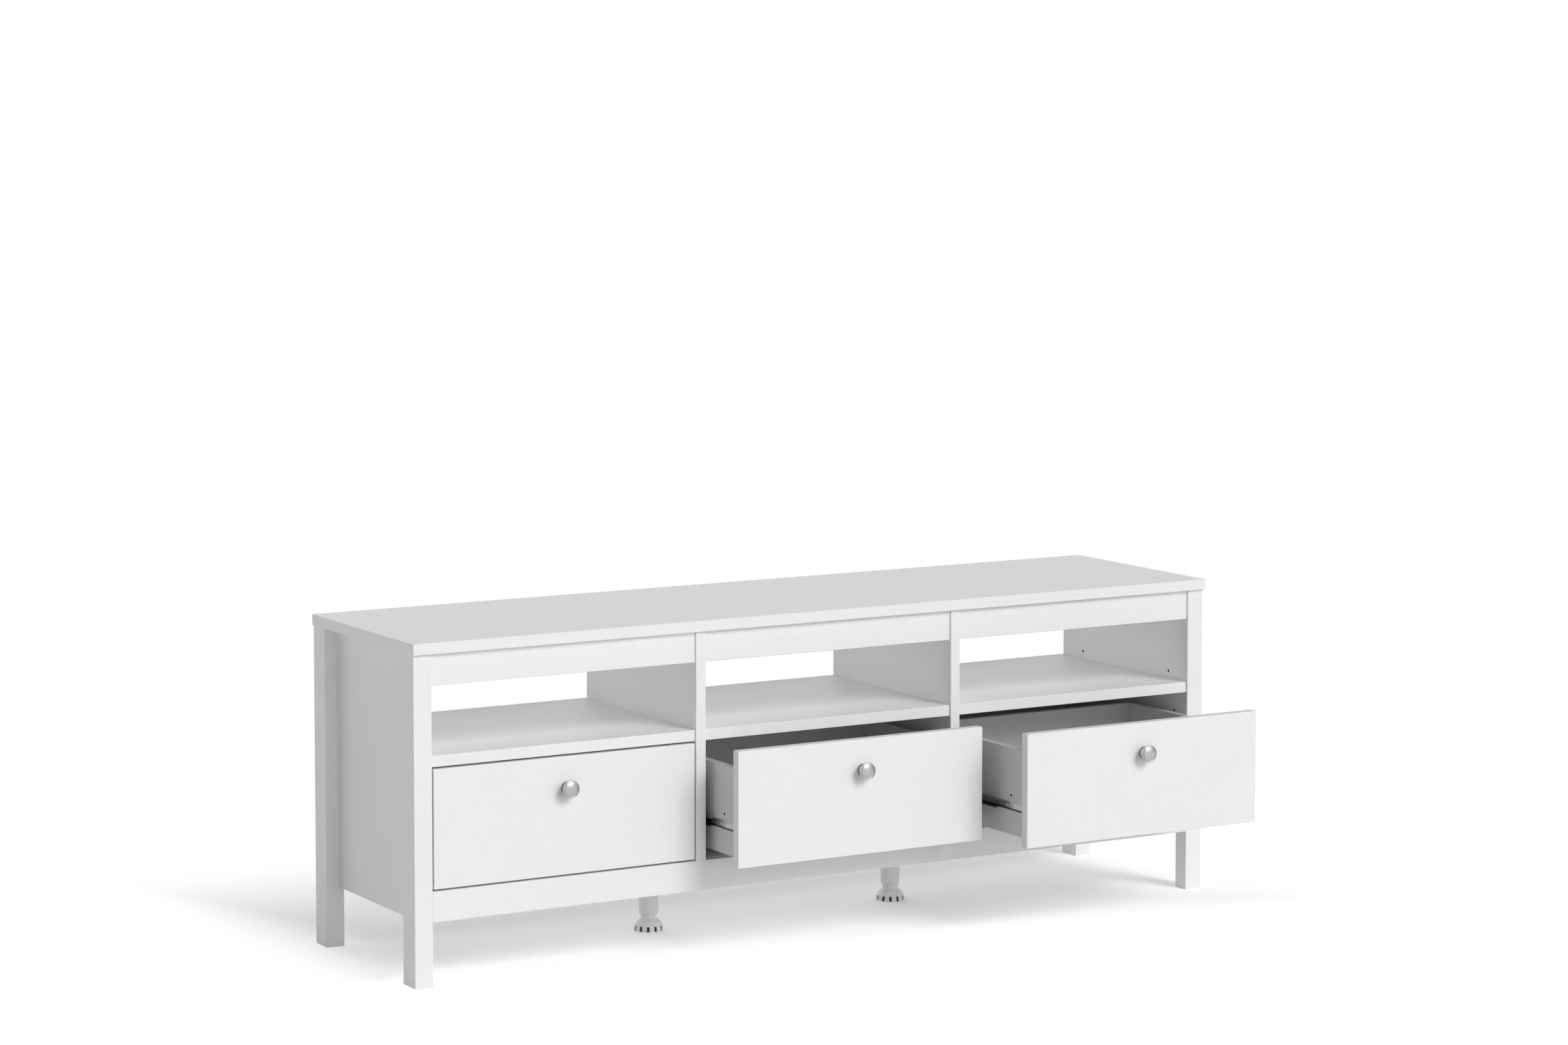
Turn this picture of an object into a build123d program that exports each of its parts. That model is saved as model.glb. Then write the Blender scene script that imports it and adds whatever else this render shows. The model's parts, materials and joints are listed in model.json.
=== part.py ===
from build123d import *
import os

# Low television bench: a frame-and-panel carcass on four posts, three open bays over three drawers.
# Millimetres. +X is to the right seen from the front, +Y is to the back, +Z is up.
# The origin is on the floor, under the middle of the box round the bench as stored, with its drawers pulled.

# Top panel
TOP_WIDTH = 1506.0
TOP_DEPTH = 382.0
TOP_THICKNESS = 18.0
HEIGHT = 540.0
TOP_SIDE_OVERHANG = 2.0
TOP_FRONT_OVERHANG = 5.5
TOP_REAR_OVERHANG = 1.0

# Posts and the side panels let into them
POST_WIDTH = 31.0
POST_DEPTH = 43.0
SIDE_REBATE = 14.0
SIDE_THICKNESS = 10.0
SIDE_BOTTOM = 98.0

# Dividers, rails, shelves, bottom and backs
DIVIDER_THICKNESS = 18.0
TOP_RAIL_HEIGHT = 50.0
TOP_RAIL_THICKNESS = 18.0
BOTTOM_RAIL_BASE = 101.5
BOTTOM_RAIL_HEIGHT = 48.5
BOTTOM_RAIL_THICKNESS = 18.0
BOTTOM_THICKNESS = 16.0
SHELF_THICKNESS = 18.0
DRAWER_OPENING = 194.5
REVEAL = 3.0
BACK_THICKNESS = 3.0
BACK_INSET = 0.5
BACK_SIDE_GAP = 0.5
EDGE_ROUND = 0.9

# Spare holes drilled in the side panels' inner faces
SPARE_HOLE_RADIUS = 2.5
SPARE_HOLE_DEPTH = 6.0
SPARE_HOLE_ABOVE_SHELF = 12.5
SPARE_HOLE_FRONT = 55.0
SPARE_HOLE_REAR = 62.0
SPARE_HOLE_BELOW_SHELF = 36.0
SPARE_HOLE_LOW_FRONT = 37.0

# Drawer fronts and boxes
FRONT_THICKNESS = 16.0
FRONT_SIDE_GAP = 2.5
FRONT_END_GAP = 3.0
BOX_BOARD = 12.0
BOX_TOP_DROP = 32.5
BOX_LIFT = 12.5
BOX_REAR_ROOM = 26.0
FLOOR_THICKNESS = 4.0
FLOOR_LIFT = 10.0
GROOVE_DEPTH = 6.0
GROOVE_PLAY = 0.2
DRAWER_TRAVEL = 230.0
DRAWER_PULLED = {"left": 0.0, "middle": 100.0, "right": 198.0}

# Ball-bearing slides, one pair for each drawer
SLIDE_SPACE = 12.7
SLIDE_END_MARGIN = 30.0
SLIDE_SETBACK = 3.0
SLIDE_LIFT = 47.5
SHEET = 1.2
CHANNEL_REACH = 9.5
CHANNEL_LIP = 1.0
MEMBER_HEIGHT = 13.2
MEMBER_REACH = 8.7
MEMBER_LIP = 0.9
MEMBER_PLAIN_END = 78.0
LIP_THICKNESS = 0.8
BALL_RADIUS = 1.5
RUN_CLEARANCE = 0.3
BALLS_PER_TRACK = 3
CAGE_SHEET = 0.8
CAGE_SPARE = 6.0

# Screws and cam locks on the drawers
SCREW_HEAD_RADIUS = 3.2
SCREW_HEAD_HEIGHT = 1.6
SCREW_SHANK_RADIUS = 1.7
SCREW_LENGTH = 9.0
SCREW_HOLE_PLAY = 0.1
SLIDE_SCREW_FRONT = 36.0
SLIDE_SCREW_REAR = 15.0
SLIDE_SLOT_STATION = 56.0
SLIDE_SLOT_LENGTH = 9.0
SLIDE_SLOT_WIDTH = 4.4
DRIVE_LENGTH = 3.6
DRIVE_WIDTH = 0.9
DRIVE_DEPTH = 0.8
CAM_RADIUS = 7.5
CAM_DEPTH = 9.0
CAM_POCKET_PLAY = 0.1
CAM_STATION = 46.0
CAM_LIFT = 65.0
CAM_CROSS_LENGTH = 9.0
CAM_CROSS_WIDTH = 2.2
CAM_CROSS_DEPTH = 2.5

# Knobs
KNOB_BELOW_EDGE = 50.0
KNOB_BASE_RADIUS = 10.5
KNOB_BASE_HEIGHT = 2.4
KNOB_NECK_RADIUS = 5.6
KNOB_NECK_FOOT = 8.0
KNOB_HEAD_RADIUS = 14.2
KNOB_HEAD_BACK = 13.2
KNOB_RIM_HEIGHT = 4.6
KNOB_RIM_ROUND = 1.0
KNOB_RIM_LAND = 0.3
KNOB_GROOVE = 1.2
KNOB_DOME = 2.6
KNOB_SCREW_RADIUS = 2.0
KNOB_SCREW_HEAD_RADIUS = 4.0
KNOB_SCREW_HEAD_HEIGHT = 2.4
KNOB_SCREW_BITE = 7.0
KNOB_BORE_SPARE = 1.0

# Adjustable support legs under the middle of the bottom panel
SUPPORT_SPREAD = 471.0
SUPPORT_BEHIND_CENTRE = 5.0
SLEEVE_RADIUS = 16.5
SLEEVE_WALL = 3.0
SLEEVE_BOTTOM = 26.5
SLEEVE_TAPER = 4.5
SLEEVE_TAPER_IN = 2.2
SLEEVE_PLATE = 62.0
SLEEVE_PLATE_THICKNESS = 3.0
SLEEVE_PLATE_CORNER = 9.0
PLATE_SCREW_INSET = 8.0
FOOT_PLAY = 0.4
FOOT_STEM_TOP = 78.0
FOOT_SHOULDER = 19.5
FOOT_RIM_HEIGHT = 5.0
FOOT_RADIUS = 24.75
FOOT_BELL_RISE = 2.0
FOOT_NOTCHES = 12
FOOT_NOTCH_WIDTH = 4.6
FOOT_NOTCH_HEIGHT = 8.7
FOOT_NOTCH_DEPTH = 5.0

# Nails of the back panels
NAIL_HEAD_RADIUS = 2.6
NAIL_HEAD_HEIGHT = 0.4
NAIL_SHANK_RADIUS = 0.8
NAIL_LENGTH = 14.0
NAILS_PER_EDGE = 4
NAIL_END_MARGIN = 40.0

# Planes and bays that follow from the sizes above
carcass_half = TOP_WIDTH / 2 - TOP_SIDE_OVERHANG
inner_half = carcass_half - POST_WIDTH
knob_reach = KNOB_HEAD_BACK + KNOB_RIM_HEIGHT + KNOB_DOME
stored_reach = max(DRAWER_PULLED.values()) + knob_reach - TOP_FRONT_OVERHANG
middle_y = stored_reach / 2
front_y = middle_y - TOP_DEPTH / 2 + TOP_FRONT_OVERHANG
rear_y = middle_y + TOP_DEPTH / 2 - TOP_REAR_OVERHANG
board_rear_y = rear_y - BACK_INSET - BACK_THICKNESS
under_top = HEIGHT - TOP_THICKNESS
bay_width = (2 * inner_half - 2 * DIVIDER_THICKNESS) / 3
bay_pitch = bay_width + DIVIDER_THICKNESS
bays = {"left": -bay_pitch, "middle": 0.0, "right": bay_pitch}
rail_top = BOTTOM_RAIL_BASE + BOTTOM_RAIL_HEIGHT
bottom_under = rail_top - BOTTOM_THICKNESS
shelf_under = rail_top + DRAWER_OPENING
shelf_top = shelf_under + SHELF_THICKNESS

# Places on a closed drawer
front_low = rail_top + FRONT_END_GAP
front_high = shelf_under - FRONT_END_GAP
box_front_y = front_y + FRONT_THICKNESS
box_low = front_low + BOX_LIFT
box_high = front_high - BOX_TOP_DROP
box_length = board_rear_y - BOX_REAR_ROOM - box_front_y
box_half = bay_width / 2 - SLIDE_SPACE
floor_low = box_low + FLOOR_LIFT
knob_z = front_high - KNOB_BELOW_EDGE
slide_z = box_low + SLIDE_LIFT
cam_z = box_low + CAM_LIFT

# Slide section, measured from the wall inwards and from the slide's centre line up
member_half = MEMBER_HEIGHT / 2
ball_line = member_half + RUN_CLEARANCE + BALL_RADIUS
channel_inside = ball_line + BALL_RADIUS + RUN_CLEARANCE
channel_half = channel_inside + SHEET
member_tip = SLIDE_SPACE - MEMBER_REACH
ball_reach = (member_tip + CHANNEL_REACH) / 2
cage_web = (SHEET + member_tip - CAGE_SHEET) / 2
slide_length = box_length - SLIDE_END_MARGIN
cage_length = slide_length - DRAWER_TRAVEL - CAGE_SPARE
channel_front_y = box_front_y + SLIDE_SETBACK
slide_screw_stations = (SLIDE_SCREW_FRONT, slide_length - SLIDE_SCREW_REAR)

# How a turned piece sits on its place
ON_BASE = (Align.CENTER, Align.CENTER, Align.MIN)
UNDER = (Align.CENTER, Align.CENTER, Align.MAX)


def slab(x0, x1, y0, y1, z0, z1):
    """A board between two opposite corners."""
    return Pos((x0 + x1) / 2, (y0 + y1) / 2, (z0 + z1) / 2) * Box(x1 - x0, y1 - y0, z1 - z0)


def eased(board):
    """All arrises of a board taken off to the edge radius."""
    return fillet(board.edges(), EDGE_ROUND)


def eased_front(board):
    """Only the arrises along a board's front face taken off."""
    front = board.faces().sort_by(Axis.Y)[0]
    return fillet(front.edges(), EDGE_ROUND)


def drill(radius, length, start, direction):
    """A round cutter or shank that starts at a point and runs along a direction."""
    return Plane(origin=start, z_dir=direction) * Cylinder(radius, length, align=ON_BASE)


def run_of(points, y0, y1):
    """A constant section in X and Z carried from y0 back to y1."""
    section = Plane(origin=(0, y1, 0), x_dir=(1, 0, 0), z_dir=(0, -1, 0)) * Polygon(*points, align=None)
    return extrude(section, amount=y1 - y0, dir=(0, -1, 0))


def group(solids):
    """Several separate solids under one node."""
    return Compound(children=list(solids))


# Carcass

def top_panel():
    half_x = TOP_WIDTH / 2
    half_y = TOP_DEPTH / 2
    return eased(slab(-half_x, half_x, middle_y - half_y, middle_y + half_y, under_top, HEIGHT))


def front_post(side):
    """Post whose inner rear corner is rebated along its length for the side panel."""
    outer = side * carcass_half
    inner = side * inner_half
    post = eased(slab(min(outer, inner), max(outer, inner), front_y, front_y + POST_DEPTH, 0, under_top))
    panel_face = side * (inner_half + SIDE_THICKNESS)
    shoulder = front_y + POST_DEPTH - SIDE_REBATE
    behind = front_y + POST_DEPTH + SIDE_REBATE
    past = side * (inner_half - SIDE_THICKNESS)
    rebate = slab(min(past, panel_face), max(past, panel_face), shoulder, behind, -POST_DEPTH, HEIGHT)
    return post - rebate


def rear_post(side):
    outer = side * carcass_half
    inner = side * inner_half
    return eased(slab(min(outer, inner), max(outer, inner), rear_y - POST_DEPTH, rear_y, 0, under_top))


def side_panel(side):
    """Panel set back from the posts' outer faces, flush with their inner faces, with its spare holes."""
    inner = side * inner_half
    outer = side * (inner_half + SIDE_THICKNESS)
    y0 = front_y + POST_DEPTH - SIDE_REBATE
    panel = slab(min(inner, outer), max(inner, outer), y0, rear_y - POST_DEPTH, SIDE_BOTTOM, under_top)
    spots = [
        (front_y + SPARE_HOLE_FRONT, shelf_top + SPARE_HOLE_ABOVE_SHELF),
        (rear_y - SPARE_HOLE_REAR, shelf_top + SPARE_HOLE_ABOVE_SHELF),
        (front_y + SPARE_HOLE_LOW_FRONT, shelf_under - SPARE_HOLE_BELOW_SHELF),
    ]
    for y, z in spots:
        panel -= drill(SPARE_HOLE_RADIUS, SPARE_HOLE_DEPTH, (inner, y, z), (side, 0, 0))
    return panel


def divider(side):
    x = side * (bay_pitch / 2)
    half = DIVIDER_THICKNESS / 2
    return eased_front(slab(x - half, x + half, front_y, rear_y, rail_top, under_top))


def bottom_panel():
    y0 = front_y + BOTTOM_RAIL_THICKNESS
    return slab(-inner_half, inner_half, y0, board_rear_y, bottom_under, rail_top)


def bottom_rail():
    y1 = front_y + BOTTOM_RAIL_THICKNESS
    return eased_front(slab(-inner_half, inner_half, front_y, y1, BOTTOM_RAIL_BASE, rail_top))


def top_rail(bay):
    x0 = bays[bay] - bay_width / 2
    y0 = front_y + REVEAL
    rail = slab(x0, x0 + bay_width, y0, y0 + TOP_RAIL_THICKNESS, under_top - TOP_RAIL_HEIGHT, under_top)
    return eased_front(rail)


def shelf(bay):
    x0 = bays[bay] - bay_width / 2
    return eased_front(slab(x0, x0 + bay_width, front_y + REVEAL, board_rear_y, shelf_under, shelf_top))


def back_nail_places(bay):
    """Nail places along the edges of the shelf and the bottom panel behind one bay."""
    reach = bay_width / 2 - NAIL_END_MARGIN
    step = 2 * reach / (NAILS_PER_EDGE - 1)
    rows = (shelf_under + SHELF_THICKNESS / 2, bottom_under + BOTTOM_THICKNESS / 2)
    return [(bays[bay] - reach + i * step, z) for z in rows for i in range(NAILS_PER_EDGE)]


def nail_shank_hole(x, z):
    return drill(NAIL_SHANK_RADIUS + SCREW_HOLE_PLAY, NAIL_LENGTH, (x, rear_y - BACK_INSET, z), (0, -1, 0))


def back_panel(bay):
    """Hardboard sheet that closes the drawer bay, nailed to the shelf and the bottom panel."""
    half = bay_width / 2 - BACK_SIDE_GAP
    x = bays[bay]
    sheet = slab(x - half, x + half, board_rear_y, rear_y - BACK_INSET, bottom_under, shelf_top)
    for place in back_nail_places(bay):
        sheet -= nail_shank_hole(*place)
    return sheet


def back_nail(x, z):
    """Flat-headed nail driven from behind."""
    face = rear_y - BACK_INSET
    head = drill(NAIL_HEAD_RADIUS, NAIL_HEAD_HEIGHT, (x, face, z), (0, 1, 0))
    return head + drill(NAIL_SHANK_RADIUS, NAIL_LENGTH, (x, face, z), (0, -1, 0))


# Slides

def slide_sides(bay):
    """The two walls of a bay, each as its X place and the sign that points into the bay."""
    half = bay_width / 2
    return [(bays[bay] - half, 1), (bays[bay] + half, -1)]


def mirrored_section(half_outline, wall, inward):
    """A section symmetric about the slide's centre line, from its upper half, wall-relative."""
    upper = [(wall + inward * u, slide_z + v) for u, v in half_outline]
    lower = [(wall + inward * u, slide_z - v) for u, v in reversed(half_outline)]
    return upper + lower


def slide_channel(wall, inward):
    """Fixed outer member: a lipped channel screwed flat on the wall."""
    outline = [
        (SHEET, channel_inside),
        (CHANNEL_REACH - LIP_THICKNESS, channel_inside),
        (CHANNEL_REACH - LIP_THICKNESS, channel_inside - CHANNEL_LIP),
        (CHANNEL_REACH, channel_inside - CHANNEL_LIP),
        (CHANNEL_REACH, channel_half),
        (0, channel_half),
    ]
    section = mirrored_section(outline, wall, inward)
    return run_of(section, channel_front_y, channel_front_y + slide_length)


def slide_member(wall, inward, pulled):
    """Drawer member: a web on the drawer side with lipped flanges, plain and drilled at its front end."""
    y0 = box_front_y - pulled
    web_face = SLIDE_SPACE - SHEET
    web = run_of(mirrored_section([(web_face, member_half), (SLIDE_SPACE, member_half)], wall, inward),
                 y0, y0 + slide_length)
    outline = [
        (web_face, member_half - SHEET),
        (member_tip, member_half - SHEET),
        (member_tip, member_half + MEMBER_LIP),
        (member_tip + LIP_THICKNESS, member_half + MEMBER_LIP),
        (member_tip + LIP_THICKNESS, member_half),
        (web_face, member_half),
    ]
    member = web
    for up in (1, -1):
        flange = [(wall + inward * u, slide_z + up * v) for u, v in outline]
        member += run_of(flange, y0 + MEMBER_PLAIN_END, y0 + slide_length)
    for station in slide_screw_stations:
        start = (wall + inward * SLIDE_SPACE, y0 + station, slide_z)
        member -= drill(SCREW_SHANK_RADIUS + SCREW_HOLE_PLAY, SLIDE_SPACE, start, (-inward, 0, 0))
    slot_plane = Plane(origin=(wall + inward * SLIDE_SPACE, y0 + SLIDE_SLOT_STATION, slide_z),
                       x_dir=(0, 1, 0), z_dir=(-inward, 0, 0))
    slot = slot_plane * SlotOverall(SLIDE_SLOT_LENGTH, SLIDE_SLOT_WIDTH)
    return member - extrude(slot, amount=SLIDE_SPACE, dir=(-inward, 0, 0))


def cage_stations(pulled):
    """Places of the ball rows along a cage, which runs half as far as its drawer."""
    middle = channel_front_y + slide_length / 2 - pulled / 2
    step = cage_length / BALLS_PER_TRACK
    first = middle - step * (BALLS_PER_TRACK - 1) / 2
    return [first + i * step for i in range(BALLS_PER_TRACK)]


def slide_cage(wall, inward, pulled):
    """Folded strip with a row of ball holes in each leg, and its balls."""
    half_sheet = CAGE_SHEET / 2
    leg_end = CHANNEL_REACH - LIP_THICKNESS - RUN_CLEARANCE
    outline = [
        (cage_web + CAGE_SHEET, ball_line - half_sheet),
        (leg_end, ball_line - half_sheet),
        (leg_end, ball_line + half_sheet),
        (cage_web, ball_line + half_sheet),
    ]
    middle = channel_front_y + slide_length / 2 - pulled / 2
    section = mirrored_section(outline, wall, inward)
    strip = run_of(section, middle - cage_length / 2, middle + cage_length / 2)
    balls = []
    x = wall + inward * ball_reach
    for y in cage_stations(pulled):
        below = (x, y, slide_z - channel_half)
        strip -= drill(BALL_RADIUS + RUN_CLEARANCE, 2 * channel_half, below, (0, 0, 1))
        balls += [Pos(x, y, slide_z + up * ball_line) * Sphere(BALL_RADIUS) for up in (1, -1)]
    return [strip] + balls


# Drawers

def floor_groove(x0, x1, y0, y1):
    """Cutter for the groove that takes the drawer's floor."""
    return slab(x0, x1, y0, y1, floor_low, floor_low + FLOOR_THICKNESS + GROOVE_PLAY)


def drawer_front(bay, pulled):
    """Inset front with the floor's groove and the knob screw's hole on its back."""
    x = bays[bay]
    half = bay_width / 2 - FRONT_SIDE_GAP
    y0 = front_y - pulled
    y1 = box_front_y - pulled
    front = eased(slab(x - half, x + half, y0, y1, front_low, front_high))
    inside = box_half - BOX_BOARD + GROOVE_DEPTH
    front -= floor_groove(x - inside, x + inside, y1 - GROOVE_DEPTH, y1)
    front -= drill(KNOB_SCREW_RADIUS + SCREW_HOLE_PLAY, FRONT_THICKNESS, (x, y1, knob_z), (0, -1, 0))
    return front


def drawer_side(bay, side, pulled):
    """Side board with the floor's groove inside, the cam's pocket and the slide's pilot holes outside."""
    x_out = bays[bay] + side * box_half
    x_in = bays[bay] + side * (box_half - BOX_BOARD)
    y0 = box_front_y - pulled
    board = slab(min(x_out, x_in), max(x_out, x_in), y0, y0 + box_length, box_low, box_high)
    groove_end = x_in + side * GROOVE_DEPTH
    board -= floor_groove(min(x_in, groove_end), max(x_in, groove_end), y0, y0 + box_length)
    inwards = (-side, 0, 0)
    board -= drill(CAM_RADIUS + CAM_POCKET_PLAY, CAM_DEPTH, (x_out, y0 + CAM_STATION, cam_z), inwards)
    for station in slide_screw_stations:
        start = (x_out, y0 + station, slide_z)
        board -= drill(SCREW_SHANK_RADIUS + SCREW_HOLE_PLAY, SCREW_LENGTH, start, inwards)
    return board


def drawer_back(bay, pulled):
    half = box_half - BOX_BOARD
    x = bays[bay]
    y1 = box_front_y + box_length - pulled
    y0 = y1 - BOX_BOARD
    board = slab(x - half, x + half, y0, y1, box_low, box_high)
    return board - floor_groove(x - half, x + half, y0, y0 + GROOVE_DEPTH)


def drawer_floor(bay, pulled):
    """Thin sheet that slides in the grooves of the front, sides and back."""
    half = box_half - BOX_BOARD + GROOVE_DEPTH - GROOVE_PLAY
    x = bays[bay]
    y0 = box_front_y - GROOVE_DEPTH + GROOVE_PLAY - pulled
    y1 = box_front_y + box_length - BOX_BOARD + GROOVE_DEPTH - GROOVE_PLAY - pulled
    return slab(x - half, x + half, y0, y1, floor_low, floor_low + FLOOR_THICKNESS)


def drawer_knob(bay, pulled):
    """Turned knob: a flat base, a waisted neck, and a rimmed head with a shallow dome."""
    waist = (KNOB_NECK_RADIUS, (KNOB_BASE_HEIGHT + KNOB_HEAD_BACK) / 2)
    neck_low = (KNOB_NECK_FOOT, KNOB_BASE_HEIGHT)
    neck_high = (KNOB_NECK_FOOT, KNOB_HEAD_BACK)
    rim_top = KNOB_HEAD_BACK + KNOB_RIM_HEIGHT
    rim_inner = KNOB_HEAD_RADIUS - KNOB_RIM_ROUND
    rim_back = [(rim_inner, KNOB_HEAD_BACK), (KNOB_HEAD_RADIUS, KNOB_HEAD_BACK + KNOB_RIM_ROUND)]
    rim_face = [(KNOB_HEAD_RADIUS, rim_top - KNOB_RIM_ROUND), (rim_inner, rim_top)]
    face_edge = rim_inner - KNOB_RIM_LAND
    groove_floor = rim_top - KNOB_GROOVE
    dome_edge = (face_edge - KNOB_GROOVE, rim_top)
    crown = (0, knob_reach)
    dome_radius = (dome_edge[0] ** 2 + KNOB_DOME ** 2) / (2 * KNOB_DOME)
    outline = Polyline(crown, (0, 0), (KNOB_BASE_RADIUS, 0), (KNOB_BASE_RADIUS, KNOB_BASE_HEIGHT), neck_low)
    outline += ThreePointArc(neck_low, waist, neck_high)
    outline += Line(neck_high, rim_back[0])
    outline += TangentArc(*rim_back, tangent=(1, 0))
    outline += Line(rim_back[1], rim_face[0])
    outline += TangentArc(*rim_face, tangent=(0, 1))
    outline += Polyline(rim_face[1], (face_edge, rim_top), (face_edge, groove_floor),
                        (dome_edge[0], groove_floor), dome_edge)
    outline += RadiusArc(dome_edge, crown, -dome_radius)
    knob = revolve(Plane.XZ * make_face(outline), axis=Axis.Z)
    bore_depth = KNOB_SCREW_BITE + KNOB_BORE_SPARE
    knob -= drill(KNOB_SCREW_RADIUS + SCREW_HOLE_PLAY, bore_depth, (0, 0, 0), (0, 0, 1))
    return Pos(bays[bay], front_y - pulled, knob_z) * Rot(90, 0, 0) * knob


def pan_screw(head_radius, head_height, shank_radius, length, place, inwards):
    """Pan-headed screw with a crossed drive, its head standing on the place, its shank running inwards."""
    head = Cylinder(head_radius, head_height, align=ON_BASE)
    head = fillet(head.edges().sort_by(Axis.Z)[-1:], head_height / 2)
    drive = Box(DRIVE_LENGTH, DRIVE_WIDTH, head_height, align=ON_BASE)
    drive += Box(DRIVE_WIDTH, DRIVE_LENGTH, head_height, align=ON_BASE)
    head -= Pos(0, 0, head_height - DRIVE_DEPTH) * drive
    shank = Cylinder(shank_radius, length, align=UNDER)
    outwards = tuple(-v for v in inwards)
    return Plane(origin=place, z_dir=outwards) * (head + shank)


def drawer_screws(bay, pulled):
    """Screws that hold the slide members, and the one through the front into the knob."""
    screws = []
    for wall, inward in slide_sides(bay):
        for station in slide_screw_stations:
            place = (wall + inward * (SLIDE_SPACE - SHEET), box_front_y + station - pulled, slide_z)
            screws.append(pan_screw(SCREW_HEAD_RADIUS, SCREW_HEAD_HEIGHT, SCREW_SHANK_RADIUS,
                                    SCREW_LENGTH, place, (inward, 0, 0)))
    screws.append(pan_screw(KNOB_SCREW_HEAD_RADIUS, KNOB_SCREW_HEAD_HEIGHT, KNOB_SCREW_RADIUS,
                            FRONT_THICKNESS + KNOB_SCREW_BITE,
                            (bays[bay], box_front_y - pulled, knob_z), (0, -1, 0)))
    return screws


def drawer_cam_locks(bay, pulled):
    """Cam discs with a crossed drive, flush in the outer faces of the drawer's sides."""
    cams = []
    for side in (-1, 1):
        x_out = bays[bay] + side * box_half
        place = (x_out, box_front_y + CAM_STATION - pulled, cam_z)
        cam = Cylinder(CAM_RADIUS, CAM_DEPTH, align=UNDER)
        cross = Box(CAM_CROSS_LENGTH, CAM_CROSS_WIDTH, 2 * CAM_CROSS_DEPTH)
        cross += Box(CAM_CROSS_WIDTH, CAM_CROSS_LENGTH, 2 * CAM_CROSS_DEPTH)
        cams.append(Plane(origin=place, z_dir=(side, 0, 0)) * (cam - cross))
    return cams


# Support legs

def support_place(side):
    return side * SUPPORT_SPREAD / 2, middle_y + SUPPORT_BEHIND_CENTRE


def plate_screw_offsets():
    half = SLEEVE_PLATE / 2 - PLATE_SCREW_INSET
    return [(dx, dy) for dx in (-half, half) for dy in (-half, half)]


def support_sleeve(side):
    """Moulded sleeve with a screw plate under the bottom panel, a bore for the foot and a tapered end."""
    x, y = support_place(side)
    plate = RectangleRounded(SLEEVE_PLATE, SLEEVE_PLATE, SLEEVE_PLATE_CORNER)
    tube_top = bottom_under - SLEEVE_PLATE_THICKNESS
    plate = Pos(0, 0, tube_top) * extrude(plate, amount=SLEEVE_PLATE_THICKNESS)
    tube_length = tube_top - SLEEVE_BOTTOM
    taper_end = SLEEVE_BOTTOM + SLEEVE_TAPER
    tube = Pos(0, 0, taper_end) * Cylinder(SLEEVE_RADIUS, tube_top - taper_end, align=ON_BASE)
    taper = Cone(SLEEVE_RADIUS - SLEEVE_TAPER_IN, SLEEVE_RADIUS, SLEEVE_TAPER, align=ON_BASE)
    tube += Pos(0, 0, SLEEVE_BOTTOM) * taper
    bore_length = tube_length - SLEEVE_WALL
    bore = Pos(0, 0, SLEEVE_BOTTOM) * Cylinder(SLEEVE_RADIUS - SLEEVE_WALL, bore_length, align=ON_BASE)
    sleeve = plate + tube - bore
    for dx, dy in plate_screw_offsets():
        sleeve -= drill(SCREW_SHANK_RADIUS + SCREW_HOLE_PLAY, SLEEVE_PLATE_THICKNESS,
                        (dx, dy, tube_top), (0, 0, 1))
    return Pos(x, y, 0) * sleeve


def plate_screws():
    """Screws of both sleeve plates, driven up into the bottom panel."""
    screws = []
    for side in (-1, 1):
        x, y = support_place(side)
        for dx, dy in plate_screw_offsets():
            place = (x + dx, y + dy, bottom_under - SLEEVE_PLATE_THICKNESS)
            screws.append(pan_screw(SCREW_HEAD_RADIUS, SCREW_HEAD_HEIGHT, SCREW_SHANK_RADIUS,
                                    SCREW_LENGTH + SLEEVE_PLATE_THICKNESS, place, (0, 0, 1)))
    return screws


def support_foot(side):
    """Screw foot: a stem in the sleeve, a bell-shaped base and a castellated rim to turn it by."""
    x, y = support_place(side)
    stem = SLEEVE_RADIUS - SLEEVE_WALL - FOOT_PLAY
    outline = Polyline((0, FOOT_STEM_TOP), (0, 0), (FOOT_RADIUS, 0), (FOOT_RADIUS, FOOT_RIM_HEIGHT))
    outline += SagittaArc((FOOT_RADIUS, FOOT_RIM_HEIGHT), (stem, FOOT_SHOULDER), -FOOT_BELL_RISE)
    outline += Polyline((stem, FOOT_SHOULDER), (stem, FOOT_STEM_TOP), (0, FOOT_STEM_TOP))
    foot = revolve(Plane.XZ * make_face(outline), axis=Axis.Z)
    notch = Pos(FOOT_RADIUS, 0, 0) * Box(2 * FOOT_NOTCH_DEPTH, FOOT_NOTCH_WIDTH, 2 * FOOT_NOTCH_HEIGHT)
    for i in range(FOOT_NOTCHES):
        foot -= Rot(0, 0, i * 360 / FOOT_NOTCHES) * notch
    return Pos(x, y, 0) * foot


def bored_for_nails(board, bay):
    """A board with the pilot holes of the back nails that reach it."""
    for place in back_nail_places(bay):
        board -= nail_shank_hole(*place)
    return board


def bored_for_plates(board):
    """The bottom panel with the pilot holes of the sleeve plates' screws."""
    for side in (-1, 1):
        x, y = support_place(side)
        for dx, dy in plate_screw_offsets():
            start = (x + dx, y + dy, bottom_under)
            board -= drill(SCREW_SHANK_RADIUS + SCREW_HOLE_PLAY, SCREW_LENGTH, start, (0, 0, 1))
    return board


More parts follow.
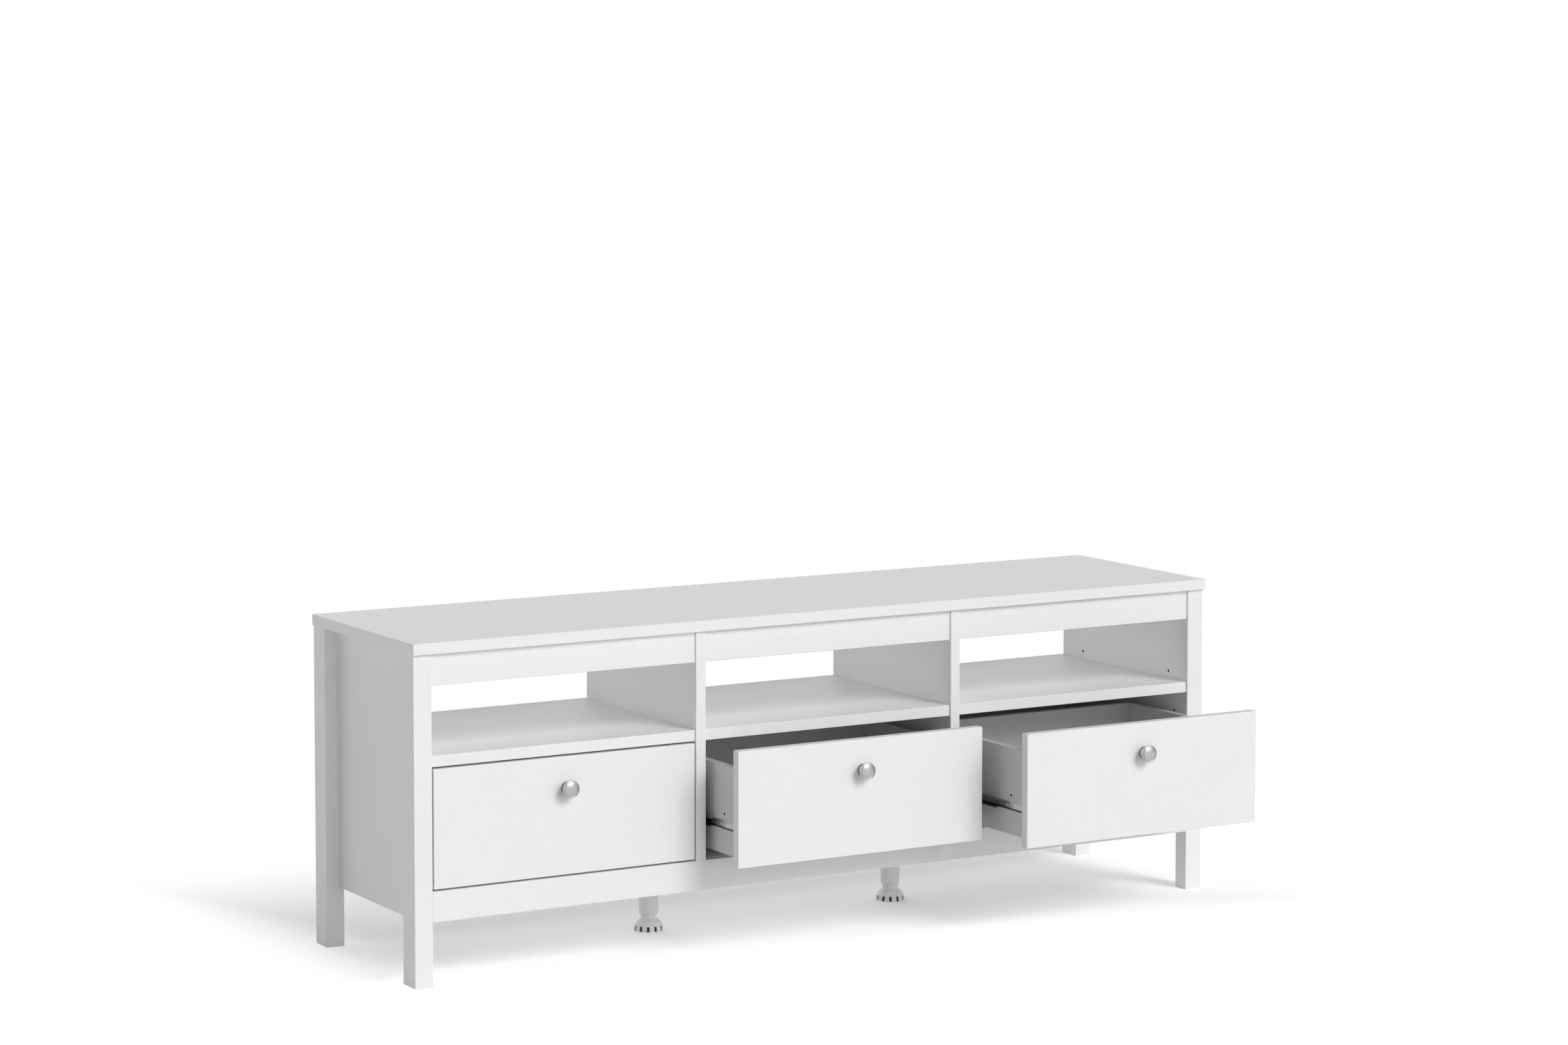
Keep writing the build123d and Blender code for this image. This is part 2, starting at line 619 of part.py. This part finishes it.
def build_nodes():
    """Every node of the bench, by name."""
    nodes = {"top_panel": top_panel()}
    for name, side in (("left", -1), ("right", 1)):
        nodes[f"front_post_{name}"] = front_post(side)
        nodes[f"rear_post_{name}"] = rear_post(side)
        nodes[f"side_panel_{name}"] = side_panel(side)
        nodes[f"divider_{name}"] = divider(side)
        nodes[f"support_sleeve_{name}"] = support_sleeve(side)
        nodes[f"support_foot_{name}"] = support_foot(side)
    bottom = bored_for_plates(bottom_panel())
    for bay in bays:
        bottom = bored_for_nails(bottom, bay)
    nodes["bottom_panel"] = bottom
    nodes["bottom_rail"] = bottom_rail()
    nodes["sleeve_screws"] = group(plate_screws())
    nodes["back_nails"] = group(back_nail(*place) for bay in bays for place in back_nail_places(bay))
    for bay in bays:
        pulled = DRAWER_PULLED[bay]
        walls = slide_sides(bay)
        nodes[f"top_rail_{bay}"] = top_rail(bay)
        nodes[f"shelf_{bay}"] = bored_for_nails(shelf(bay), bay)
        nodes[f"back_panel_{bay}"] = back_panel(bay)
        nodes[f"slide_channels_{bay}"] = group(slide_channel(*wall) for wall in walls)
        nodes[f"slide_cages_{bay}"] = group(solid for wall in walls for solid in slide_cage(*wall, pulled))
        nodes[f"slide_members_{bay}"] = group(slide_member(*wall, pulled) for wall in walls)
        nodes[f"drawer_front_{bay}"] = drawer_front(bay, pulled)
        nodes[f"drawer_side_left_{bay}"] = drawer_side(bay, -1, pulled)
        nodes[f"drawer_side_right_{bay}"] = drawer_side(bay, 1, pulled)
        nodes[f"drawer_back_{bay}"] = drawer_back(bay, pulled)
        nodes[f"drawer_floor_{bay}"] = drawer_floor(bay, pulled)
        nodes[f"drawer_knob_{bay}"] = drawer_knob(bay, pulled)
        nodes[f"drawer_screws_{bay}"] = group(drawer_screws(bay, pulled))
        nodes[f"drawer_cam_locks_{bay}"] = group(drawer_cam_locks(bay, pulled))
    return nodes


os.makedirs("parts", exist_ok=True)
for node, shape in build_nodes().items():
    export_step(shape, f"parts/{node}.step")
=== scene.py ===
import json
import math
import bpy
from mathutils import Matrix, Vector


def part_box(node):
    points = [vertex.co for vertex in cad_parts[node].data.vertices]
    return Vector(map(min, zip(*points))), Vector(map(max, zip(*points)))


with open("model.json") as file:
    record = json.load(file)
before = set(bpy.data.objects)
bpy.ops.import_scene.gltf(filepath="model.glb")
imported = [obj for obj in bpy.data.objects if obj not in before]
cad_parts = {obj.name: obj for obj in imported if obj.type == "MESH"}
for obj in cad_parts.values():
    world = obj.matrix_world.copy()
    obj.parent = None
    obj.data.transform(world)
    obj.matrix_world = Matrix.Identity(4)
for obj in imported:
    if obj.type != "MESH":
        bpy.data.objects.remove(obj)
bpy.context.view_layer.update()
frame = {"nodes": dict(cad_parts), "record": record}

# Spare holes of the side panels, in metres: y and z of each, the radius, and the span of x that they fill
SPARE_HOLES = ((-0.02405, 0.375), (0.23445, 0.375), (-0.04205, 0.3085))
SPARE_HOLE_RADIUS = 0.0027
SPARE_HOLE_DEPTH = (0.7203, 0.7268)

# Marks on a drawer's slide members, in metres from their front end and their lower edge: where painted
# shade starts behind the plain tip, the height over which a painted shadow along the lower edge fades, and
# the screws
SHADE_ONSET = (0.044, 0.052)
LOWER_SHADOW_RISE = (0.0050, 0.0025)
SLIDE_SCREWS = (0.036, 0.285)
SCREW_DRIVE_RADIUS = 0.0017

# Marks on the cam locks and the screw feet, in metres: the cams' rim, the face depth past which their
# recess gets painted shade, and where the feet's slots get painted shade
CAM_RIM_RADIUS = 0.0058
CAM_FACE_DEPTH = 0.0006
FOOT_SLOT_RADIUS = 0.0226
FOOT_SLOT_TOP = 0.0088

# Foils: two close tones and a roughness each
WHITE_FOIL = ((0.838, 0.838, 0.836), (0.884, 0.884, 0.882), 0.50)
GREY_FOIL = ((0.600, 0.600, 0.596), (0.655, 0.655, 0.650), 0.42)
# Raw chip core for the spare holes, painted far darker than chip as shade in the holes
CHIP_AND_HOLE_SHADE = (0.10, 0.085, 0.07)

# Foil pattern: pores longer than they are wide, slow mottling, a pearl emboss, and roughness that drifts
PORES_PER_METRE = 900.0
PORE_LENGTH_RATIO = 0.04
PORE_SPAN = (0.3, 0.7)
PORE_SHARE = 0.6
PORE_RELIEF = 1.6
MOTTLES_PER_METRE = 9.0
MOTTLE_SHARE = 0.4
PEARLS_PER_METRE = 820.0
FOIL_DRIFTS_PER_METRE = 38.0
FOIL_DRIFT = (-0.05, 0.07)

# Hardboard: tones, roughness, and fibres to the metre along each axis
HARDBOARD_TONES = ((0.775, 0.770, 0.752), (0.835, 0.832, 0.818))
HARDBOARD_ROUGHNESS = (0.48, 0.62)
FIBRES_PER_METRE = (240.0, 240.0, 70.0)

# Steels: dark tone, light tone, roughness, streaks to the metre along each axis, and metalness
ROLLED_ALONG = (900.0, 14.0, 900.0)
CAST_EVENLY = (700.0, 700.0, 700.0)
MEMBER_STEEL = ((0.60, 0.605, 0.61), (0.76, 0.765, 0.77), 0.36, ROLLED_ALONG, 1.0)
CHANNEL_STEEL = ((0.36, 0.365, 0.37), (0.50, 0.505, 0.51), 0.36, ROLLED_ALONG, 1.0)
FITTING_STEEL = ((0.86, 0.86, 0.85), (0.95, 0.95, 0.94), 0.42, CAST_EVENLY, 0.4)

# Steel pattern: crystals under the streaks, and roughness that drifts with the streaks
CRYSTALS_PER_METRE = 210.0
CRYSTAL_SHARE = 0.45
STREAK_SHARE = 0.55
STEEL_DRIFT = (-0.07, 0.09)

# Tones on the steels: the cams' rim, painted shade on the slide members behind their tip, a darker painted
# shadow along their lower race, and painted shade in a recess, also used in the feet's slots
FITTING_RIM = (0.60, 0.60, 0.59)
MEMBER_SHADE = (0.36, 0.36, 0.355)
MEMBER_LOWER_SHADOW = (0.06, 0.06, 0.058)
RECESS_SHADE = (0.05, 0.05, 0.05)

# Satin nickel of the knobs
NICKEL_TONES = ((0.48, 0.478, 0.470), (0.56, 0.558, 0.550))
NICKEL_ROUGHNESS = (0.28, 0.38)
NICKEL_HAZES_PER_METRE = 160.0
TURNED_RING_SCALE = 420.0
TURNED_RING_WAVER = 0.6

# Moulded plastic of the supports
PLASTIC_TONES = ((0.855, 0.855, 0.850), (0.905, 0.905, 0.902))
PLASTIC_ROUGHNESS = (0.34, 0.46)
FLOWS_PER_METRE = (30.0, 30.0, 12.0)
GRAINS_PER_METRE = 2600.0

# Relief of each finish: its strength, and its depth in metres
FOIL_RELIEF = (0.10, 0.00012)
HARDBOARD_RELIEF = (0.20, 0.0002)
STEEL_RELIEF = (0.10, 0.0001)
NICKEL_RELIEF = (0.025, 0.00006)
PLASTIC_RELIEF = (0.12, 0.00008)

# Camera, fitted to the photograph's perspective: metres, degrees and millimetres of lens
CAMERA_PLACE = (-3.35099, -5.59434, 1.45428)
CAMERA_PITCH = 4.565
CAMERA_YAW = 30.139
CAMERA_LENS = 91.54
CAMERA_SENSOR = 36.0
CAMERA_SHIFT = (0.0206, -0.100)
CAMERA_REACH = 200.0

# Panels of light around the bench: level, heading on x and y, and where along it a panel starts and is full
SOFT_FRONT = (0.70, (0.0, -1.0), (0.0, 1.0))
FRONT_RIGHT_PANEL = (1.32, (0.64, -0.77), (0.2, 1.0))
REAR_LEFT_PANEL = (0.15, (-0.77, 0.64), (0.2, 1.0))
REAR_GLOW = (3.15, (0.0, 1.0), (0.3, 0.9))
PANELS = (SOFT_FRONT, FRONT_RIGHT_PANEL, REAR_LEFT_PANEL, REAR_GLOW)

# Surroundings in a mirror: how bright the far right is, and where on x it starts and is full
RIGHT_SEEN = 0.45
RIGHT_EDGE = (0.50, 1.0)

# Key lamp: heading, distance in metres, spread in degrees, and its level on a face turned to it
KEY_DIRECTION = (0.26, -0.77, 0.58)
KEY_DISTANCE = 4.0
KEY_SPREAD = 28.0
KEY_LEVEL = 0.47

# Floor: half its width, its own tone, the tone and lift that it shows, and where the shadow has faded out
FLOOR_HALF = 30.0
FLOOR_TONE = 0.855
FLOOR_SHOWN_TONE = 1.20
FLOOR_LIFT = 0.06
FADE_FRONT = (-0.03, -0.13)
FADE_FRONT_SLANT = 0.15
FADE_BACK = (0.18, 0.95)
FADE_LEFT = (-0.60, -0.87)
FADE_RIGHT = (0.69, 0.90)

# Kinds of rays that show the surroundings
CAMERA_RAY = "Is Camera Ray"
MIRROR_RAYS = ("Is Glossy Ray", "Is Transmission Ray")


def bare_material(name):
    """A new node material with nothing in it but its output."""
    material = bpy.data.materials.new(name)
    material.use_nodes = True
    tree = material.node_tree
    tree.nodes.clear()
    return material, tree, tree.nodes.new("ShaderNodeOutputMaterial")


def object_place(tree):
    """Object coordinates."""
    return tree.nodes.new("ShaderNodeTexCoord").outputs["Object"]


def finish(name):
    """A new material with a Principled shader, and its Object coordinates."""
    material, tree, output = bare_material(name)
    shader = tree.nodes.new("ShaderNodeBsdfPrincipled")
    tree.links.new(shader.outputs["BSDF"], output.inputs["Surface"])
    return material, tree, shader, object_place(tree)


def stretched(tree, place, scale, shift=(0, 0, 0)):
    """Coordinates moved by a shift and stretched along each axis."""
    mapping = tree.nodes.new("ShaderNodeMapping")
    mapping.inputs["Location"].default_value = shift
    mapping.inputs["Scale"].default_value = scale
    tree.links.new(place, mapping.inputs["Vector"])
    return mapping.outputs["Vector"]


def cloudy(tree, place, scale, detail=3.0, rough=0.5):
    """Smooth noise between 0 and 1, with so many features to the metre."""
    noise = tree.nodes.new("ShaderNodeTexNoise")
    noise.inputs["Scale"].default_value = scale
    noise.inputs["Detail"].default_value = detail
    noise.inputs["Roughness"].default_value = rough
    tree.links.new(place, noise.inputs["Vector"])
    return noise.outputs["Fac"]


def pebbled(tree, place, scale):
    """Distance to the nearest of many scattered points, for pearls and crystals."""
    cells = tree.nodes.new("ShaderNodeTexVoronoi")
    cells.feature = "SMOOTH_F1"
    cells.inputs["Scale"].default_value = scale
    tree.links.new(place, cells.inputs["Vector"])
    return cells.outputs["Distance"]


def ranged(tree, value, low, high, span=(0.0, 1.0), course="LINEAR"):
    """A value carried evenly from its span to the range low to high, and held at the ends."""
    mapped = tree.nodes.new("ShaderNodeMapRange")
    mapped.interpolation_type = course
    mapped.inputs["From Min"].default_value = span[0]
    mapped.inputs["From Max"].default_value = span[1]
    mapped.inputs["To Min"].default_value = low
    mapped.inputs["To Max"].default_value = high
    tree.links.new(value, mapped.inputs["Value"])
    return mapped.outputs["Result"]


def eased(tree, value, span):
    """0 to 1 across a span, with a soft start and end."""
    return ranged(tree, value, 0.0, 1.0, span, "SMOOTHSTEP")


def reckoned(tree, operation, *values):
    """Values and numbers joined, one after another, by one kind of arithmetic."""
    total = values[0]
    for value in values[1:]:
        step = tree.nodes.new("ShaderNodeMath")
        step.operation = operation
        for socket, term in zip(step.inputs, (total, value)):
            if isinstance(term, (int, float)):
                socket.default_value = term
            else:
                tree.links.new(term, socket)
        total = step.outputs["Value"]
    return total


def added(tree, *values):
    """The sum of the values."""
    return reckoned(tree, "ADD", *values)


def times(tree, *values):
    """The product of the values."""
    return reckoned(tree, "MULTIPLY", *values)


def largest(tree, *values):
    """The largest of the values."""
    return reckoned(tree, "MAXIMUM", *values)


def above(tree, value, limit):
    """1 where a value is more than a limit, else 0."""
    return reckoned(tree, "GREATER_THAN", value, limit)


def below(tree, value, limit):
    """1 where a value is less than a limit, else 0."""
    return reckoned(tree, "LESS_THAN", value, limit)


def between(tree, value, low, high):
    """1 where a value lies between two limits, else 0."""
    return times(tree, above(tree, value, low), below(tree, value, high))


def toned(tree, value, dark, light):
    """A colour between two tones, picked by a 0 to 1 value."""
    mix = tree.nodes.new("ShaderNodeMix")
    mix.data_type = "RGBA"
    mix.inputs["A"].default_value = (*dark, 1.0)
    mix.inputs["B"].default_value = (*light, 1.0)
    tree.links.new(value, mix.inputs["Factor"])
    return mix.outputs["Result"]


def painted(tree, colour, tone, *masks):
    """The colour, but another tone where every mask is 1."""
    mix = tree.nodes.new("ShaderNodeMix")
    mix.data_type = "RGBA"
    mix.inputs["B"].default_value = (*tone, 1.0)
    tree.links.new(times(tree, *masks), mix.inputs["Factor"])
    tree.links.new(colour, mix.inputs["A"])
    return mix.outputs["Result"]


def parted(tree, place):
    """The three coordinates of a place, one by one."""
    parts = tree.nodes.new("ShaderNodeSeparateXYZ")
    tree.links.new(place, parts.inputs[0])
    return [parts.outputs[axis] for axis in "XYZ"]


def off_axis(tree, place, axis, point):
    """Distance from the line that runs through a point along the named axis."""
    kept = tuple(0.0 if name == axis else 1.0 for name in "XYZ")
    moved = tuple(-c * k for c, k in zip(point, kept))
    away = tree.nodes.new("ShaderNodeVectorMath")
    away.operation = "LENGTH"
    tree.links.new(stretched(tree, place, kept, moved), away.inputs[0])
    return away.outputs["Value"]


def embossed(tree, shader, height, strength, depth):
    """Relief of a height value on the shader's normal, its depth in metres."""
    bump = tree.nodes.new("ShaderNodeBump")
    bump.inputs["Strength"].default_value = strength
    bump.inputs["Distance"].default_value = depth
    tree.links.new(height, bump.inputs["Height"])
    tree.links.new(bump.outputs["Normal"], shader.inputs["Normal"])


def middle_of(node):
    """Middle of a CAD node's box, read from the frame."""
    low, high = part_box(node)
    return tuple((a + b) / 2 for a, b in zip(low, high))


def foil_finish(name, foil, along, side=0):
    """Foil on board: slow mottling, and a fine pore emboss drawn out along the board.

    On a side panel, side is its sign on x, and the inside of its spare holes shows raw chip core, painted
    far darker as shade in the holes.
    """
    dark, light, rough = foil
    material, tree, shader, place = finish(name)
    drawn_out = tuple(PORE_LENGTH_RATIO if axis == along else 1.0 for axis in "XYZ")
    pores = cloudy(tree, stretched(tree, place, drawn_out), PORES_PER_METRE, detail=2.0, rough=0.6)
    mottling = cloudy(tree, place, MOTTLES_PER_METRE, detail=4.0)
    mottled = ranged(tree, mottling, 0.0, MOTTLE_SHARE)
    tone = added(tree, mottled, ranged(tree, pores, 0.0, PORE_SHARE, PORE_SPAN))
    colour = toned(tree, tone, dark, light)
    if side:
        depth = times(tree, parted(tree, place)[0], side)
        deep = between(tree, depth, *SPARE_HOLE_DEPTH)
        for y, z in SPARE_HOLES:
            inside = below(tree, off_axis(tree, place, "X", (0.0, y, z)), SPARE_HOLE_RADIUS)
            # Raw chip core with painted shade, inside each spare hole
            colour = painted(tree, colour, CHIP_AND_HOLE_SHADE, inside, deep)
    tree.links.new(colour, shader.inputs["Base Color"])
    drift = cloudy(tree, place, FOIL_DRIFTS_PER_METRE)
    drifting = ranged(tree, drift, rough + FOIL_DRIFT[0], rough + FOIL_DRIFT[1])
    tree.links.new(drifting, shader.inputs["Roughness"])
    relief = added(tree, times(tree, pores, PORE_RELIEF), pebbled(tree, place, PEARLS_PER_METRE))
    embossed(tree, shader, relief, *FOIL_RELIEF)
    return material


def hardboard_finish(name):
    """Lacquered hardboard: warm white over pressed fibres that run every way."""
    material, tree, shader, place = finish(name)
    fibres = cloudy(tree, stretched(tree, place, FIBRES_PER_METRE), 1.0, detail=5.0, rough=0.65)
    tree.links.new(toned(tree, fibres, *HARDBOARD_TONES), shader.inputs["Base Color"])
    tree.links.new(ranged(tree, fibres, *HARDBOARD_ROUGHNESS), shader.inputs["Roughness"])
    embossed(tree, shader, fibres, *HARDBOARD_RELIEF)
    return material


def plated_steel(name, steel):
    """Plated steel to add to: crystalline mottling under streaks, and its colour, not yet on the shader."""
    dark, light, rough, streaked, metalness = steel
    material, tree, shader, place = finish(name)
    shader.inputs["Metallic"].default_value = metalness
    crystals = pebbled(tree, place, CRYSTALS_PER_METRE)
    streaks = cloudy(tree, stretched(tree, place, streaked), 1.0)
    crystalline = ranged(tree, crystals, 0.0, CRYSTAL_SHARE)
    tone = added(tree, crystalline, ranged(tree, streaks, 0.0, STREAK_SHARE))
    drifting = ranged(tree, streaks, rough + STEEL_DRIFT[0], rough + STEEL_DRIFT[1])
    tree.links.new(drifting, shader.inputs["Roughness"])
    embossed(tree, shader, streaks, *STEEL_RELIEF)
    return material, tree, shader, place, toned(tree, tone, dark, light)


def plated_finish(name, steel):
    """Plated steel with nothing on it."""
    material, tree, shader, _, colour = plated_steel(name, steel)
    tree.links.new(colour, shader.inputs["Base Color"])
    return material


def shaded_member_finish(name, node):
    """A drawer's slide members: a plain zinc tip, then painted shade behind it, and a darker painted shadow
    along the lower race.
    """
    material, tree, shader, place, colour = plated_steel(name, MEMBER_STEEL)
    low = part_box(node)[0]
    _, along, height = parted(tree, place)
    # Painted shade: darker from where the plain tip ends, back along the member
    painted_shade = eased(tree, along, [low[1] + station for station in SHADE_ONSET])
    # Painted shadow: dark along the lower race, over the whole length
    painted_shadow = eased(tree, height, [low[2] + rise for rise in LOWER_SHADOW_RISE])
    shaded = painted(tree, colour, MEMBER_SHADE, painted_shade)
    tree.links.new(painted(tree, shaded, MEMBER_LOWER_SHADOW, painted_shadow), shader.inputs["Base Color"])
    return material


def cam_finish(name, node):
    """Die-cast cams: a bright face, a duller rim, and painted shade in the recess for the screwdriver."""
    material, tree, shader, place, colour = plated_steel(name, FITTING_STEEL)
    low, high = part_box(node)
    rim = above(tree, off_axis(tree, place, "X", middle_of(node)), CAM_RIM_RADIUS)
    inner = between(tree, parted(tree, place)[0], low[0] + CAM_FACE_DEPTH, high[0] - CAM_FACE_DEPTH)
    rimmed = painted(tree, colour, FITTING_RIM, rim)
    # Painted shade in the screwdriver recess
    tree.links.new(painted(tree, rimmed, RECESS_SHADE, inner), shader.inputs["Base Color"])
    return material


def screw_finish(name, member):
    """Zinc screws, with painted shade in the drive recess of those that hold the slide's members."""
    material, tree, shader, place, colour = plated_steel(name, FITTING_STEEL)
    low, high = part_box(member)
    for station in SLIDE_SCREWS:
        point = (0.0, low[1] + station, (low[2] + high[2]) / 2)
        drive = below(tree, off_axis(tree, place, "X", point), SCREW_DRIVE_RADIUS)
        # Painted shade in the drive recess
        colour = painted(tree, colour, RECESS_SHADE, drive)
    tree.links.new(colour, shader.inputs["Base Color"])
    return material


def knob_finish(name, node):
    """Satin nickel: fine rings left by turning, centred on the knob's own axis."""
    material, tree, shader, place = finish(name)
    shader.inputs["Metallic"].default_value = 1.0
    rings = tree.nodes.new("ShaderNodeTexWave")
    rings.wave_type = "RINGS"
    rings.rings_direction = "Y"
    rings.inputs["Scale"].default_value = TURNED_RING_SCALE
    rings.inputs["Distortion"].default_value = TURNED_RING_WAVER
    centred = stretched(tree, place, (1, 1, 1), tuple(-c for c in middle_of(node)))
    tree.links.new(centred, rings.inputs["Vector"])
    haze = cloudy(tree, place, NICKEL_HAZES_PER_METRE)
    tree.links.new(toned(tree, haze, *NICKEL_TONES), shader.inputs["Base Color"])
    tree.links.new(ranged(tree, haze, *NICKEL_ROUGHNESS), shader.inputs["Roughness"])
    embossed(tree, shader, rings.outputs["Fac"], *NICKEL_RELIEF)
    return material


def moulded_finish(name, foot=None):
    """Moulded plastic: pale, with a fine grain and faint flow mottling, and painted shade inside a foot's
    slots.
    """
    material, tree, shader, place = finish(name)
    flow = cloudy(tree, stretched(tree, place, FLOWS_PER_METRE), 1.0)
    colour = toned(tree, flow, *PLASTIC_TONES)
    if foot:
        inside = below(tree, off_axis(tree, place, "Z", middle_of(foot)), FOOT_SLOT_RADIUS)
        slotted = between(tree, parted(tree, place)[2], 0.0, FOOT_SLOT_TOP)
        # Painted shade inside the foot's slots
        colour = painted(tree, colour, RECESS_SHADE, inside, slotted)
    tree.links.new(colour, shader.inputs["Base Color"])
    tree.links.new(ranged(tree, flow, *PLASTIC_ROUGHNESS), shader.inputs["Roughness"])
    embossed(tree, shader, cloudy(tree, place, GRAINS_PER_METRE), *PLASTIC_RELIEF)
    return material


def grain_of(node):
    """The axis a board's foil runs along: up uprights and fronts, back on drawer sides, else across."""
    if node.startswith(("front_post", "rear_post", "side_panel", "divider", "drawer_front")):
        return "Z"
    if node.startswith("drawer_side"):
        return "Y"
    return "X"


def make_finishes():
    """Every finish, by record slot, by slot and grain, or by the node that has marks of its own."""
    finishes = {
        "hardboard": hardboard_finish("white_hardboard"),
        "slide_steel": plated_finish("slide_zinc", CHANNEL_STEEL),
        "fitting_steel": plated_finish("fitting_zinc", FITTING_STEEL),
        "support_plastic": moulded_finish("sleeve_plastic"),
    }
    for axis in "XYZ":
        finishes["white_board", axis] = foil_finish(f"white_foil_{axis}", WHITE_FOIL, axis)
        finishes["drawer_board", axis] = foil_finish(f"grey_foil_{axis}", GREY_FOIL, axis)
    for bay in ("left", "middle", "right"):
        knob = f"drawer_knob_{bay}"
        member = f"slide_members_{bay}"
        cams = f"drawer_cam_locks_{bay}"
        finishes[knob] = knob_finish(f"satin_nickel_{bay}", knob)
        finishes[member] = shaded_member_finish(f"shaded_zinc_{bay}", member)
        finishes[cams] = cam_finish(f"cam_zinc_{bay}", cams)
        finishes[f"drawer_screws_{bay}"] = screw_finish(f"screw_zinc_{bay}", member)
    for end, side in (("left", -1), ("right", 1)):
        foot = f"support_foot_{end}"
        finishes[foot] = moulded_finish(f"foot_plastic_{end}", foot)
        finishes[f"side_panel_{end}"] = foil_finish(f"side_foil_{end}", WHITE_FOIL, "Z", side)
    return finishes


def dress_nodes():
    """Every CAD node takes its own finish where it has one, else that of its record slot."""
    finishes = make_finishes()
    slots = {part["node"]: part["material_slot"] for part in frame["record"]["subparts"]}
    for node, piece in frame["nodes"].items():
        choices = (node, (slots[node], grain_of(node)), slots[node])
        piece.data.materials.clear()
        piece.data.materials.append(next(finishes[key] for key in choices if key in finishes))


def rays(tree, *kinds):
    """1 for rays of the named kinds, else 0."""
    path = tree.nodes.new("ShaderNodeLightPath")
    return largest(tree, *(path.outputs[kind] for kind in kinds))


def floor_fade(tree):
    """0 near the bench and 1 away from it on every side, a little slanted at the front."""
    across, along, _ = parted(tree, object_place(tree))
    slanted = added(tree, along, times(tree, across, FADE_FRONT_SLANT))
    sides = ((across, FADE_LEFT), (across, FADE_RIGHT), (slanted, FADE_FRONT), (along, FADE_BACK))
    return largest(tree, *(eased(tree, value, span) for value, span in sides))


def floor_finish(name):
    """Diffuse paper, lifted to white for the rays that show it, so that it keeps the shadow.

    Away from the bench it fades to plain white, as the shadow does in the photograph.
    """
    material, tree, output = bare_material(name)
    shown = rays(tree, CAMERA_RAY, *MIRROR_RAYS)
    paper = tree.nodes.new("ShaderNodeBsdfDiffuse")
    tree.links.new(ranged(tree, shown, FLOOR_TONE, FLOOR_SHOWN_TONE), paper.inputs["Color"])
    lift = tree.nodes.new("ShaderNodeEmission")
    tree.links.new(times(tree, shown, FLOOR_LIFT), lift.inputs["Strength"])
    lifted = tree.nodes.new("ShaderNodeAddShader")
    tree.links.new(paper.outputs["BSDF"], lifted.inputs[0])
    tree.links.new(lift.outputs["Emission"], lifted.inputs[1])
    white = tree.nodes.new("ShaderNodeEmission")
    faded = tree.nodes.new("ShaderNodeMixShader")
    tree.links.new(times(tree, floor_fade(tree), shown), faded.inputs["Fac"])
    tree.links.new(lifted.outputs["Shader"], faded.inputs[1])
    tree.links.new(white.outputs["Emission"], faded.inputs[2])
    tree.links.new(faded.outputs["Shader"], output.inputs["Surface"])
    return material


def make_floor():
    """A wide pale floor under the bench."""
    half = FLOOR_HALF
    corners = [(-half, -half, 0), (half, -half, 0), (half, half, 0), (-half, half, 0)]
    mesh = bpy.data.meshes.new("studio_floor")
    mesh.from_pydata(corners, [], [(0, 1, 2, 3)])
    mesh.materials.append(floor_finish("studio_paper"))
    floor = bpy.data.objects.new("studio_floor", mesh)
    bpy.context.scene.collection.objects.link(floor)


def panel_light(tree, x, y, level, heading, edge):
    """Light of one panel: nothing before its edge along the heading, and its level past it."""
    headed = added(tree, times(tree, x, heading[0]), times(tree, y, heading[1]))
    return ranged(tree, headed, 0.0, level, edge)


def make_sky():
    """Surroundings that are white where they are seen, and dimmer at the far right in a mirror.

    As light they are the panels, all of them fading from the horizon up.
    """
    world = bpy.data.worlds.new("studio_sky")
    world.use_nodes = True
    tree = world.node_tree
    background = tree.nodes["Background"]
    background.inputs["Color"].default_value = (1.0, 1.0, 1.0, 1.0)
    x, y, z = parted(tree, tree.nodes.new("ShaderNodeTexCoord").outputs["Generated"])
    light = added(tree, *(panel_light(tree, x, y, *panel) for panel in PANELS))
    lowness = ranged(tree, z, 1.0, 0.0)
    hidden = reckoned(tree, "SUBTRACT", 1.0, rays(tree, CAMERA_RAY, *MIRROR_RAYS))
    mirrored = times(tree, rays(tree, *MIRROR_RAYS), ranged(tree, x, 1.0, RIGHT_SEEN, RIGHT_EDGE))
    seen = largest(tree, rays(tree, CAMERA_RAY), mirrored)
    strength = added(tree, times(tree, light, lowness, hidden), seen)
    tree.links.new(strength, background.inputs["Strength"])
    bpy.context.scene.world = world


def make_key():
    """One broad soft lamp, far off, whose strength gives the key level on a face turned to it."""
    lamp = bpy.data.lights.new("key_lamp", "SUN")
    lamp.angle = math.radians(KEY_SPREAD)
    lamp.energy = KEY_LEVEL * math.pi
    key = bpy.data.objects.new("key_lamp", lamp)
    key.location = KEY_DISTANCE * Vector(KEY_DIRECTION)
    key.rotation_euler = Vector(KEY_DIRECTION).to_track_quat("Z", "Y").to_euler()
    bpy.context.scene.collection.objects.link(key)


def make_camera():
    """Camera turned to the bench's left front, tilted a little down."""
    data = bpy.data.cameras.new("photo_camera")
    data.sensor_width = CAMERA_SENSOR
    data.sensor_fit = "HORIZONTAL"
    data.lens = CAMERA_LENS
    data.shift_x, data.shift_y = CAMERA_SHIFT
    data.clip_end = CAMERA_REACH
    camera = bpy.data.objects.new("photo_camera", data)
    camera.location = CAMERA_PLACE
    camera.rotation_euler = (math.radians(90.0 - CAMERA_PITCH), 0.0, math.radians(-CAMERA_YAW))
    bpy.context.scene.collection.objects.link(camera)
    bpy.context.scene.camera = camera


dress_nodes()
make_floor()
make_sky()
make_key()
make_camera()
bpy.context.scene.view_settings.view_transform = "Standard"
